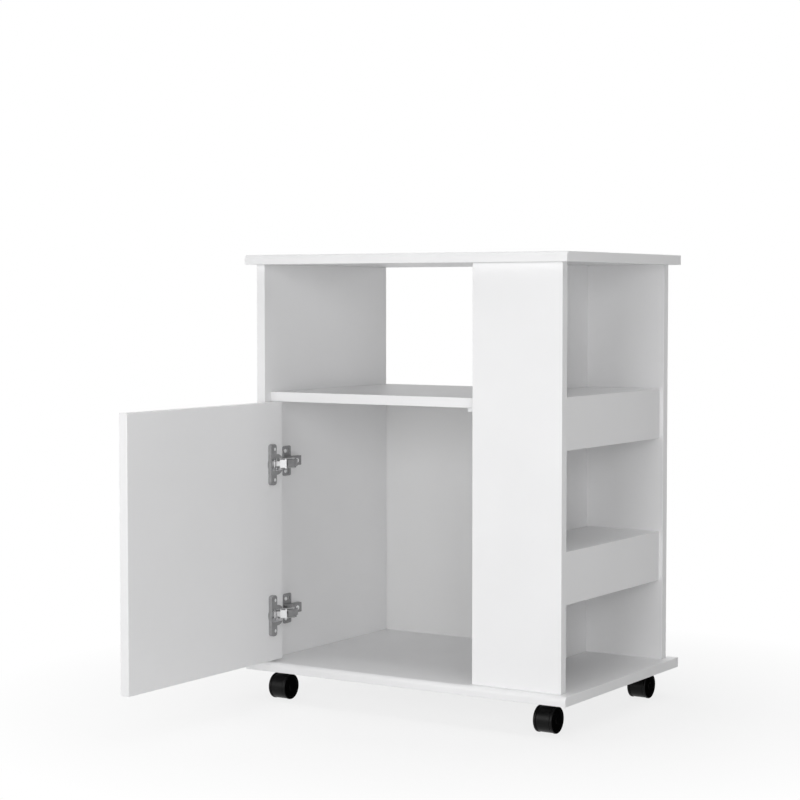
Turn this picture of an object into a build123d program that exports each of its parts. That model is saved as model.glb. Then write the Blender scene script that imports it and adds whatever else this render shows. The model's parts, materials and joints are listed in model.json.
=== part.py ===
from build123d import *
import math
import os

# Microwave cabinet on casters: an open niche over a compartment with one inset door, and at the
# right a bay with three cubbies that open sideways. Millimetres, +Z up. The origin is on the floor
# under the centre of the base. The front faces -Y. The door is drawn open at a right angle.

# Carcass
board = 15.0
top_width = 570.0
top_depth = 384.0
body_height = 654.0
caster_height = 48.0
side_set_in = 14.0
front_set_in = 13.0
rear_set_in = 16.0
bay_width = 149.0
rolled_edge = 7.0
back_thickness = 3.0

# Shelves, as heights of their top faces over the underside of the base
main_shelf_height = 439.2
main_shelf_set_in = 16.0
bay_shelf_heights = {"lower": 218.8, "upper": 443.8}
fascia_height = 77.8
fascia_set_in = 6.0

# Door and door stop
door_side_gap = 2.0
door_bottom_gap = 4.2
door_stop_width = 17.0
door_stop_height = 6.0
door_stop_depth = 14.0
door_stop_edge = 0.6
stop_peg_radius = 2.5
stop_peg_length = 8.0

# Open door: how far its inner face stands from the side, and how far its hinge edge stands behind
# the front of the carcass
open_door_offset = 25.1
open_door_lead = 10.7

# Concealed hinges
hinge_heights = {"lower": 90.2, "upper": 327.3}
cup_radius = 17.5
cup_depth = 11.5
cup_wall = 1.4
cup_floor = 1.0
cup_edge_distance = 20.5
cup_slot_half_height = 9.8
flange_height = 64.0
flange_depth = 14.3
flange_near = 22.3
flange_thickness = 6.0
flange_corner = 5.0
cup_screw_spacing = 48.0
cup_screw_offset = 5.7
link_pin_radius = 1.25
outer_cup_pin = (9.2, 4.2)
outer_reach = 34.9
inner_cup_pin = (12.8, 6.0)
inner_reach = 21.8
cup_pin_half_length = 10.8
cup_stub_start = 5.2
cup_lug_radius = 1.9
cup_lug_gap = 0.1
cup_slot_end = 1.0
cup_screw_sink = 0.5
link_band = 1.6
link_eye = 2.4
link_sheet = 1.3
link_half_height = 7.9
link_web_span = (19.5, 22.0)
link_bend_lead = 3.4
inner_band = 1.2
inner_bend = (0.9, -0.3)
cover_half_height = 6.2
cover_span = (0.0, 8.4)
cover_stand_off = 3.0
cover_thickness = 1.0
cover_rib_span = (4.2, 7.6)
lip_half_height = 7.6
lip_reach = 2.2
hook_wall = 0.9
open_pivot_play = 1.75
arm_half_height = 7.5
arm_stand_off = 12.0
arm_sheet = 1.4
arm_rear = 81.4
arm_wall_gap = 4.5
arm_step = 30.3
arm_slope = 25.0
arm_foot = 12.0
arm_corner = 0.85
nose_half_height = 5.6
nose_clearance = 0.4
nose_cover_end = 13.0
nose_corner = 0.8
arm_pin_end = 0.2
plate_height = 47.7
plate_depth = 20.5
plate_near = 46.6
plate_thickness = 2.0
plate_corner = 3.0
plate_block_inset = 6.0
plate_slot = (7.0, 3.6)
plate_hole_spacing = 32.0
plate_screw_inset = 4.6
plate_slot_inset = 6.4
arm_screw_place = 70.0
arm_screw_radius = 2.0
arm_screw_length = 7.0
arm_screw_edge = 5.0
arm_screw_head_radius = 3.6
arm_screw_head_height = 1.4
arm_screw_recess = (4.4, 1.0, 0.8)

# Casters
wheel_radius = 20.0
barrel_width = 31.0
caster_side_inset = 47.0
caster_end_inset = 50.0
caster_trail = 13.5
caster_plate_size = 38.0
caster_plate_thickness = 1.8
caster_screw_spacing = 30.0
caster_plate_corner = 4.0
stem_radius = 4.0
stem_length = 19.2
collar_height = 1.0
neck_radius = 8.0
neck_foot = 8.0
drum_radius = 19.4
drum_half_width = 11.0
drum_web_half_width = 6.4
drum_recess_radius = 12.6
drum_edge = 0.8
axle_radius = 3.0
axle_end_inset = 1.6
wheel_edge = 1.4
wheel_hub_radius = 6.5
wheel_rim_gap = 0.4
wheel_rim_wall = 2.6
wheel_face_recess = 0.5
wheel_face_radius = 15.5
wheel_boss_radius = 5.0

# Fasteners
dowel_radius = 4.0
dowel_in_face = 10.0
dowel_in_edge = 20.0
side_dowel_rows = (-0.34, 0.31)
wall_dowel_rows = (-0.31, 0.29)
bay_shelf_dowel_rows = (-0.26, 0.26)
bay_dowel_insets = (50.0, 30.0)
wall_dowel_end = 60.0
wall_dowel_under_shelf = 90.0
side_screw_rows = (-0.18, 0.16)
wall_screw_rows = (-0.16, 0.13)
bay_screw_offset = 10.0
joint_screw_radius = 2.5
joint_screw_length = 50.0
joint_screw_head_radius = 4.4
joint_screw_head_height = 3.0
joint_screw_socket_radius = 2.2
joint_screw_socket_depth = 2.1
cap_thickness = 1.6
small_screw_radius = 1.75
small_screw_length = 12.0
small_head_radius = 3.0
small_head_height = 1.5
small_screw_recess = (3.4, 0.8, 0.9)
nail_radius = 0.8
nail_length = 18.0
nail_head_radius = 1.8
nail_head_height = 0.6
nail_end_inset = 25.0
nail_side_inset = 50.0
nails_in_a_row = 4

# Clearances. A tool that only has to pass a face goes past it by cut_past
cut_past = 1.0
fit_clearance = 0.05
hole_end_play = 1.0
face_gap = 0.3

# Planes that follow from the driving dimensions
floor_to_base = caster_height
base_top = floor_to_base + board
top_face = floor_to_base + body_height
top_underside = top_face - board
left_outer = -top_width / 2 + side_set_in
left_inner = left_outer + board
bay_right = top_width / 2 - side_set_in
bay_left = bay_right - bay_width
partition_right = bay_left + board
front_face = -top_depth / 2 + front_set_in
front_panel_back = front_face + board
rear_face = top_depth / 2 - rear_set_in
rear_panel_front = rear_face - board
side_middle = (left_outer + left_inner) / 2
partition_middle = (bay_left + partition_right) / 2
front_panel_middle = (front_face + front_panel_back) / 2
rear_panel_middle = (rear_panel_front + rear_face) / 2
side_rear = rear_face - back_thickness
fascia_right = bay_right - fascia_set_in
fascia_left = fascia_right - board
shelf_top = floor_to_base + main_shelf_height
shelf_underside = shelf_top - board
shelf_middle = shelf_top - board / 2
shelf_front = front_face + main_shelf_set_in
door_bottom = base_top + door_bottom_gap
door_top = shelf_underside
door_width = bay_left - left_inner - 2 * door_side_gap


def block(x0, x1, y0, y1, z0, z1):
    """A box between two corners."""
    size = (x1 - x0, y1 - y0, z1 - z0)
    return Pos((x0 + x1) / 2, (y0 + y1) / 2, (z0 + z1) / 2) * Box(*size)


def rod(start, direction, radius, length):
    """A cylinder from start along direction."""
    return extrude(Plane(start, z_dir=direction) * Circle(radius), length)


def prism(points, z0, z1):
    """An upright prism over a plan outline."""
    return extrude(Pos(0, 0, z0) * make_face(Polyline(*points, close=True)), z1 - z0)


def along(start, direction, distance):
    """The point that lies distance along direction from start."""
    return tuple(s + d * distance for s, d in zip(start, direction))


def holes(pieces, tools):
    """The pieces' solid with the tools that reach it cut away."""
    box = pieces.bounding_box()
    near = []
    for tool in tools:
        other = tool.bounding_box()
        low, high = tuple(box.min), tuple(box.max)
        small, large = tuple(other.min), tuple(other.max)
        if all(small[i] < high[i] and large[i] > low[i] for i in range(3)):
            near.append(tool)
    return pieces - near if near else pieces


def write(name, shape):
    """Write one node's solids to its file."""
    solids = shape if isinstance(shape, list) else [shape]
    flat = [solid for piece in solids for solid in piece.solids()]
    export_step(flat[0] if len(flat) == 1 else Compound(flat), f"parts/{name}.step")


def full_board(z):
    """A board as wide and deep as the cabinet, with the top corner of its front edge rolled."""
    width, depth = top_width / 2, top_depth / 2
    body = block(-width, width, -depth, depth, z, z + board)
    front_edge = body.edges().filter_by(Axis.X).sort_by(Axis.Z)[-2:].sort_by(Axis.Y)[0]
    return fillet(front_edge, rolled_edge)


def rows(shares):
    """Places along Y, from shares of the cabinet's depth."""
    return [share * top_depth for share in shares]


# Dowels: a point on the face board, and the way into the edge of the other board
def dowel_seats():
    bay_spots = (bay_left + bay_dowel_insets[0], bay_right - bay_dowel_insets[1])
    uprights = [(side_middle, y) for y in rows(side_dowel_rows)]
    uprights += [(partition_middle, y) for y in rows(wall_dowel_rows)]
    uprights += [(x, y) for x in bay_spots for y in (front_panel_middle, rear_panel_middle)]
    seats = [((x, y, base_top), (0, 0, 1)) for x, y in uprights]
    seats += [((x, y, top_underside), (0, 0, -1)) for x, y in uprights]
    for y in rows(side_dowel_rows):
        seats.append(((left_inner, y, shelf_middle), (1, 0, 0)))
        seats.append(((bay_left, y, shelf_middle), (-1, 0, 0)))
    for height in bay_shelf_heights.values():
        middle = floor_to_base + height - board / 2
        for y in rows(bay_shelf_dowel_rows):
            seats.append(((partition_right, y, middle), (1, 0, 0)))
            seats.append(((fascia_left, y, middle), (-1, 0, 0)))
    low, high = base_top + wall_dowel_end, top_underside - wall_dowel_end
    for z in (low, shelf_underside - wall_dowel_under_shelf, high):
        seats.append(((partition_middle, front_panel_back, z), (0, 1, 0)))
        seats.append(((partition_middle, rear_panel_front, z), (0, -1, 0)))
    return seats


def make_dowels():
    pieces, tools = [], []
    for point, way in dowel_seats():
        start = along(point, way, -dowel_in_face)
        deep = along(start, way, -hole_end_play)
        length = dowel_in_face + dowel_in_edge
        pieces.append(rod(start, way, dowel_radius, length))
        tools.append(rod(deep, way, dowel_radius + fit_clearance, length + 2 * hole_end_play))
    return pieces, tools


def joint_screw(point, way):
    """A flush headed screw, the cap over it and the hole for both; point is on the outer face."""
    head_start = along(point, way, cap_thickness)
    head = rod(head_start, way, joint_screw_head_radius, joint_screw_head_height)
    socket = RegularPolygon(joint_screw_socket_radius, 6)
    socket = extrude(Plane(head_start, z_dir=way) * socket, joint_screw_socket_depth)
    shank_start = along(head_start, way, joint_screw_head_height)
    shank = rod(shank_start, way, joint_screw_radius, joint_screw_length)
    cap = rod(point, way, joint_screw_head_radius, cap_thickness)
    seat = cap_thickness + joint_screw_head_height
    tool = rod(point, way, joint_screw_head_radius + fit_clearance, seat)
    tool += rod(shank_start, way, joint_screw_radius + fit_clearance, joint_screw_length + hole_end_play)
    return head - socket + shank, cap, tool


def make_joint_screws():
    places = [(side_middle, y) for y in rows(side_screw_rows)]
    places += [(partition_middle, y) for y in rows(wall_screw_rows)]
    bay_middle = (bay_left + bay_right) / 2 + bay_screw_offset
    places += [(bay_middle, y) for y in (front_panel_middle, rear_panel_middle)]
    from_top = [joint_screw((x, y, top_face), (0, 0, -1)) for x, y in places]
    from_below = [joint_screw((x, y, floor_to_base), (0, 0, 1)) for x, y in places]
    side_spots = [(left_outer, y, shelf_middle) for y in rows(side_screw_rows)]
    from_left = [joint_screw(spot, (1, 0, 0)) for spot in side_spots]
    caps = [cap for group in (from_top, from_below, from_left) for _, cap, _ in group]
    tools = [tool for group in (from_top, from_below, from_left) for _, _, tool in group]
    screws = {
        "top_screws": [screw for screw, _, _ in from_top],
        "base_screws": [screw for screw, _, _ in from_below],
        "side_screws": [screw for screw, _, _ in from_left],
    }
    return screws, caps, tools


def cross(plane, span, slot, depth):
    """A crossed recess of two slots."""
    return extrude(plane * (Rectangle(span, slot) + Rectangle(slot, span)), depth)


def small_screw(point, way):
    """A pan head screw whose head stands on point, and its pilot hole; way leads inwards."""
    plane = Plane(along(point, way, -small_head_height), z_dir=way)
    head = extrude(plane * Circle(small_head_radius), small_head_height)
    shank = rod(point, way, small_screw_radius, small_screw_length)
    tool_start = along(point, way, -cut_past)
    tool = rod(tool_start, way, small_screw_radius, small_screw_length + cut_past)
    return head - cross(plane, *small_screw_recess) + shank, tool


def make_nails():
    pieces, tools = [], []
    low, high = base_top + nail_end_inset, shelf_underside - nail_end_inset
    left, right = left_inner + nail_side_inset, bay_left - nail_side_inset
    steps = [i / (nails_in_a_row - 1) for i in range(nails_in_a_row)]
    places = [(side_middle, low + step * (high - low)) for step in steps]
    places += [(left + step * (right - left), shelf_middle) for step in steps]
    for x, z in places:
        head_start = (x, rear_face + nail_head_height, z)
        head = rod(head_start, (0, -1, 0), nail_head_radius, nail_head_height)
        shank = rod((x, rear_face, z), (0, -1, 0), nail_radius, nail_length)
        pieces.append(head + shank)
        tools.append(shank)
    return pieces, tools


# Hinge plan: x is measured from the inner face of the side, y from the front of the carcass
def plan(x, y):
    return (left_inner + x, front_face + y)


def plan_points(points):
    return [plan(x, y) for x, y in points]


def door_point(along_door, depth):
    """Plan place on the open door: distance from its hinge edge, depth under its inner face."""
    return (open_door_offset - depth, open_door_lead - along_door)


def closed_point(along_door, depth):
    """The same place with the door closed."""
    return (door_side_gap + along_door, board - depth)


def swing_centre():
    """The one point about which a single quarter turn would open the door."""
    dx = open_door_offset - board
    cx = (dx + open_door_lead + door_side_gap) / 2
    return cx, cx - dx


def arm_pin(cup_pin, reach):
    """Arm pin as far from the cup pin closed as open, at a given distance from the swing centre."""
    cx, cy = swing_centre()
    px, py = closed_point(*cup_pin)
    angle = math.atan2(py - cy, px - cx) - math.pi / 4
    return (cx + reach * math.cos(angle), cy + reach * math.sin(angle))


outer_arm_pin = arm_pin(outer_cup_pin, outer_reach)
inner_arm_pin = arm_pin(inner_cup_pin, inner_reach)
outer_pin_open = door_point(*outer_cup_pin)
inner_pin_open = door_point(*inner_cup_pin)


def band(points, z0, z1, half_width=link_band):
    """A flat strip of even width along a few plan points, with round corners."""
    flat = []
    for (x0, y0), (x1, y1) in zip(points, points[1:]):
        turn = math.degrees(math.atan2(y1 - y0, x1 - x0))
        middle = Pos(*plan((x0 + x1) / 2, (y0 + y1) / 2)) * Rot(0, 0, turn)
        flat.append(middle * Rectangle(math.hypot(x1 - x0, y1 - y0), 2 * half_width))
    flat += [Pos(*plan(x, y)) * Circle(half_width) for x, y in points[1:-1]]
    outline = flat[0] + flat[1:] if flat[1:] else flat[0]
    return extrude(Pos(0, 0, z0) * outline, z1 - z0)


def eye(point, z0, z1, radius=link_eye):
    x, y = plan(*point)
    return rod((x, y, z0), (0, 0, 1), radius, z1 - z0)


def pin(point, height, half_length, radius=link_pin_radius):
    return eye(point, height - half_length, height + half_length, radius)


def rim_point(clear):
    """Plan place just outside the rim of the open door's cup, where a link bends past it."""
    return (open_door_offset + clear, open_door_lead - cup_edge_distance + cup_radius - cup_wall)


def outer_link(height):
    x, y = rim_point(link_band + face_gap)
    bend = (x, y - link_bend_lead)
    low, high = height - link_half_height, height + link_half_height
    body = None
    for z0, z1 in ((low, low + link_sheet), (high - link_sheet, high)):
        cheek = band([outer_arm_pin, bend, outer_pin_open], z0, z1)
        cheek += eye(outer_arm_pin, z0, z1) + eye(outer_pin_open, z0, z1)
        body = cheek if body is None else body + cheek
    # A short web joins the two cheeks on the side that faces the cabinet wall
    px, py = outer_arm_pin
    length = math.hypot(bend[0] - px, bend[1] - py)
    ux, uy = (bend[0] - px) / length, (bend[1] - py) / length
    aside = link_band - link_sheet / 2
    ends = [(px + ux * reach + uy * aside, py + uy * reach - ux * aside) for reach in link_web_span]
    body += band(ends, low, high, link_sheet / 2)
    for point in (outer_arm_pin, outer_pin_open):
        body -= pin(point, height, link_half_height + cut_past, link_pin_radius + fit_clearance)
    return body


def inner_link(height):
    x, y = rim_point(link_band + face_gap)
    half = nose_half_height - link_sheet - face_gap
    low, high = height - half, height + half
    bend = (x + inner_bend[0], y - link_bend_lead + inner_bend[1])
    body = band([inner_arm_pin, bend, inner_pin_open], low, high, inner_band)
    body += eye(inner_arm_pin, low, high)
    # A wide cover, with a taller lip at the arm's end, stands off from the side that faces the room
    px, py = inner_arm_pin
    length = math.dist(inner_arm_pin, inner_pin_open)
    ux, uy = (inner_pin_open[0] - px) / length, (inner_pin_open[1] - py) / length

    def stretch(span, near, far, half_height):
        ends = [(span[0], near), (span[1], near), (span[1], far), (span[0], far)]
        outline = [(px + ux * a - uy * b, py + uy * a + ux * b) for a, b in ends]
        return prism(plan_points(outline), height - half_height, height + half_height)

    far = cover_stand_off + cover_thickness
    body += stretch(cover_rib_span, 0, far, half)
    body += stretch(cover_span, cover_stand_off, far, cover_half_height)
    body += stretch((cover_span[0] - lip_reach, cover_span[0]), cover_stand_off, far, lip_half_height)
    # An open hook lies round the cup pin with play, because this pivot closes the linkage
    hook = link_pin_radius + open_pivot_play
    body += eye(inner_pin_open, low, high, hook + hook_wall)
    body -= pin(inner_pin_open, height, nose_half_height, hook)
    mouth = (inner_pin_open[0] - hook - hook_wall, inner_pin_open[1])
    body -= band([inner_pin_open, mouth], low, high, hook)
    return body - pin(inner_arm_pin, height, nose_half_height, link_pin_radius + fit_clearance)


def hinge_arm(height):
    low, high = height - arm_half_height, height + arm_half_height
    face = arm_stand_off
    nose_x = outer_arm_pin[0] + link_eye + nose_clearance
    outline = [(arm_wall_gap, arm_rear), (face, arm_rear), (face, arm_step + arm_slope)]
    outline += [(nose_x, arm_step), (arm_wall_gap, arm_step + arm_foot)]
    open_end = arm_step - cut_past
    inside, nose_inside = face - arm_sheet, nose_x - arm_sheet
    hollow = [(0, arm_rear + cut_past), (inside, arm_rear + cut_past)]
    hollow += [(inside, arm_step + arm_slope - arm_corner), (nose_inside, arm_step - arm_corner)]
    hollow += [(nose_inside, open_end), (0, open_end)]
    body = prism(plan_points(outline), low, high)
    body -= prism(plan_points(hollow), low + arm_sheet, high - arm_sheet)
    # The nose carries both arm pins between two cheeks, and its front is closed down to the inner pin
    ox, oy = outer_arm_pin
    ix, iy = inner_arm_pin
    tip = link_eye - nose_corner
    wall_side = ox - link_eye - nose_clearance
    front = [(nose_x, oy - link_eye), (ix + link_eye, iy - nose_corner)]
    nose = [(nose_x, arm_step), *front, (ix + nose_corner, iy - link_eye), (ix - tip, iy - link_eye)]
    nose += [(ix - link_eye, iy), (wall_side, oy), (wall_side, arm_step + arm_foot)]
    nose.append((nose_x - arm_sheet, arm_step + arm_sheet))
    near, far = height - nose_half_height, height + nose_half_height
    lean = (front[1][0] - front[0][0]) / (front[1][1] - front[0][1])
    end_x = nose_x + lean * (nose_cover_end - front[0][1])
    gap = [(0, 0), (nose_x + cut_past, 0), (nose_x + cut_past, nose_cover_end)]
    gap += [(end_x - arm_sheet, nose_cover_end), (nose_inside, front[0][1])]
    gap += [(nose_inside, arm_step + cut_past), (0, arm_step + arm_foot + cut_past)]
    cheeks = prism(plan_points(nose), near, far)
    body += cheeks - prism(plan_points(gap), near + link_sheet, far - link_sheet)
    for point in (outer_arm_pin, inner_arm_pin):
        body -= pin(point, height, link_half_height, link_pin_radius)
    x, y = plan(face + cut_past, arm_screw_place)
    return body - rod((x, y, height), (-1, 0, 0), arm_screw_radius + fit_clearance, face)


def mounting_plate(height):
    near = front_face + plate_near
    middle = (left_inner, near + plate_depth / 2, height)
    sheet = RectangleRounded(plate_depth, plate_height, plate_corner)
    body = extrude(Plane(middle, x_dir=(0, 1, 0), z_dir=(1, 0, 0)) * sheet, plate_thickness)
    half = arm_half_height - arm_sheet - fit_clearance
    rear = front_face + arm_screw_place + arm_screw_edge
    arm_inside = left_inner + arm_stand_off - arm_sheet
    body += block(left_inner, arm_inside, near + plate_block_inset, rear, height - half, height + half)
    for side in (-1, 1):
        z = height + side * plate_hole_spacing / 2
        start = (left_inner - cut_past, near + plate_screw_inset, z)
        body -= rod(start, (1, 0, 0), small_screw_radius, plate_thickness + 2 * cut_past)
        slot_at = (left_inner - cut_past, near + plate_depth - plate_slot_inset, z)
        slot = Plane(slot_at, x_dir=(0, 1, 0), z_dir=(1, 0, 0)) * SlotOverall(*plate_slot, rotation=90)
        body -= extrude(slot, plate_thickness + 2 * cut_past)
    x, y = plan(arm_stand_off, arm_screw_place)
    return body - rod((x, y, height), (-1, 0, 0), arm_screw_radius, arm_screw_length + hole_end_play)


def arm_screw(height):
    x, y = plan(arm_stand_off, arm_screw_place)
    top = Plane((x + arm_screw_head_height, y, height), x_dir=(0, 1, 0), z_dir=(-1, 0, 0))
    head = extrude(top * Circle(arm_screw_head_radius), arm_screw_head_height)
    head -= cross(top, *arm_screw_recess)
    return head + rod((x, y, height), (-1, 0, 0), arm_screw_radius, arm_screw_length)


def plate_screws(height):
    pieces, tools = [], []
    for side in (-1, 1):
        y = front_face + plate_near + plate_screw_inset
        z = height + side * plate_hole_spacing / 2
        piece, tool = small_screw((left_inner + plate_thickness, y, z), (-1, 0, 0))
        pieces.append(piece)
        tools.append(tool)
    return pieces, tools


def cup(height):
    x, y = plan(*door_point(cup_edge_distance, 0))
    door_edge = front_face + open_door_lead
    far = door_edge - flange_near - flange_depth
    low, high = height - cup_slot_half_height, height + cup_slot_half_height
    outside, inside = cup_radius - fit_clearance, cup_radius - cup_wall
    shell_at = (x - cup_depth + fit_clearance, y, height)
    body = rod(shell_at, (1, 0, 0), outside, cup_depth - fit_clearance)
    body += rod((x, y, height), (1, 0, 0), inside, flange_thickness)
    flange_at = Plane((x, far + flange_depth / 2, height), x_dir=(0, 1, 0), z_dir=(1, 0, 0))
    flange = RectangleRounded(flange_depth, flange_height, flange_corner)
    body += extrude(flange_at * flange, flange_thickness)
    # The links come in through a slot in the rim, which is open towards the door's edge
    past = x + flange_thickness + cut_past
    slot = block(x - cup_depth, past, far + cup_slot_end, door_edge, low, high)
    floor_at = (x - cup_depth + cup_floor, y, height)
    body -= rod(floor_at, (1, 0, 0), inside, cup_depth + flange_thickness) & slot
    body -= block(x, past, y, door_edge, low, high)
    # Two lugs stand on the cup's floor and hold the inner link's pin
    pin_x, pin_y = plan(*inner_pin_open)
    left, right = pin_y - cup_lug_radius, pin_y + cup_lug_radius
    near = nose_half_height - link_sheet + cup_lug_gap
    for side in (-1, 1):
        z0, z1 = sorted((height + side * near, height + side * nose_half_height))
        body += block(floor_at[0], pin_x, left, right, z0, z1)
        body += rod((pin_x, pin_y, z0), (0, 0, 1), cup_lug_radius, z1 - z0)
    for piece in cup_pin_pieces(height):
        body -= piece
    for side in (-1, 1):
        start = (past, cup_screw_y(), height + side * cup_screw_spacing / 2)
        sink = cut_past + cup_screw_sink + small_head_height
        body -= rod(start, (-1, 0, 0), small_screw_radius, flange_thickness + 2 * cut_past)
        body -= rod(start, (-1, 0, 0), small_head_radius + fit_clearance, sink)
    return body


def cup_pin_pieces(height):
    """The inner link's short pin and the outer link's two stub pins."""
    stub = cup_pin_half_length - cup_stub_start
    middle = cup_stub_start + stub / 2
    pieces = [pin(inner_pin_open, height, nose_half_height)]
    return pieces + [pin(outer_pin_open, height + side * middle, stub / 2) for side in (-1, 1)]


def cup_screw_y():
    return front_face + open_door_lead - cup_edge_distance - cup_screw_offset


def cup_screws(height):
    pieces, tools = [], []
    seat = flange_thickness - small_head_height - cup_screw_sink
    x = left_inner + open_door_offset + seat
    for side in (-1, 1):
        start = (x, cup_screw_y(), height + side * cup_screw_spacing / 2)
        piece, tool = small_screw(start, (-1, 0, 0))
        pieces.append(piece)
        tools.append(tool)
    return pieces, tools


def make_door(tools):
    inner = left_inner + open_door_offset
    edge = front_face + open_door_lead
    panel = block(inner - board, inner, edge - door_width, edge, door_bottom, door_top)
    for height in hinge_heights.values():
        x, y = plan(*door_point(cup_edge_distance, 0))
        z = floor_to_base + height
        panel -= rod((x + cut_past, y, z), (-1, 0, 0), cup_radius, cup_depth + cut_past)
    return holes(panel, tools)


# Casters: the stem is the swivel axis, and the axle trails it towards the end of the cabinet
def caster_places():
    x = top_width / 2 - caster_side_inset
    y = top_depth / 2 - caster_end_inset
    return {"front_left": (-x, -y), "front_right": (x, -y), "rear_left": (-x, y), "rear_right": (x, y)}


def caster_plate(x, y):
    """The plate with its stem, the screws through it and their pilot holes."""
    bottom = caster_height - caster_plate_thickness
    sheet = RectangleRounded(caster_plate_size, caster_plate_size, caster_plate_corner)
    plate = extrude(Pos(x, y, bottom) * sheet, caster_plate_thickness)
    plate += rod((x, y, bottom), (0, 0, -1), stem_radius, stem_length)
    plate += rod((x, y, bottom), (0, 0, -1), neck_radius, collar_height)
    screws, tools = [], []
    for dx in (-1, 1):
        for dy in (-1, 1):
            spot = (x + dx * caster_screw_spacing / 2, y + dy * caster_screw_spacing / 2, bottom)
            piece, tool = small_screw(spot, (0, 0, 1))
            screws.append(piece)
            tools.append(tool)
    return holes(plate, tools), screws, tools


def caster_axle(x, axle_y):
    half = barrel_width / 2 - axle_end_inset
    return rod((x - half, axle_y, wheel_radius), (1, 0, 0), axle_radius, 2 * half)


def caster_housing(x, y, axle_y):
    """The middle drum between the wheels, with the neck that turns about the stem."""
    start = (x - drum_half_width, axle_y, wheel_radius)
    drum = rod(start, (1, 0, 0), drum_radius, 2 * drum_half_width)
    drum = fillet(drum.edges().filter_by(GeomType.CIRCLE), drum_edge)
    plate_bottom = caster_height - caster_plate_thickness
    foot = wheel_radius + neck_foot
    drum += rod((x, y, foot), (0, 0, 1), neck_radius, plate_bottom - collar_height - face_gap - foot)
    bore_bottom = plate_bottom - stem_length - hole_end_play
    drum -= rod((x, y, bore_bottom), (0, 0, 1), stem_radius + fit_clearance, caster_height - bore_bottom)
    for side in (-1, 1):
        start = (x + side * drum_web_half_width, axle_y, wheel_radius)
        drum -= rod(start, (side, 0, 0), drum_recess_radius, drum_half_width)
    return drum - caster_axle(x, axle_y)


def caster_wheel(x, axle_y, side):
    """One wheel: a disc outside the drum, with a hub and a rim that reach into its recess."""
    def ring(radius, near, far):
        return rod((x + side * near, axle_y, wheel_radius), (side, 0, 0), radius, far - near)

    near, face = drum_half_width + face_gap, barrel_width / 2
    disc = ring(wheel_radius, near, face)
    disc = fillet(disc.edges().filter_by(GeomType.CIRCLE), wheel_edge)
    deep = drum_web_half_width + face_gap
    rim_radius = drum_recess_radius - wheel_rim_gap
    rim = ring(rim_radius, deep, near + wheel_edge)
    rim -= ring(rim_radius - wheel_rim_wall, 0, near)
    wheel = disc + rim + ring(wheel_hub_radius, deep, near + wheel_edge)
    wheel -= ring(axle_radius + fit_clearance, 0, face - axle_end_inset + fit_clearance)
    dish = ring(wheel_face_radius, face - wheel_face_recess, face + cut_past)
    return wheel - (dish - ring(wheel_boss_radius, 0, face + cut_past))


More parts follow.
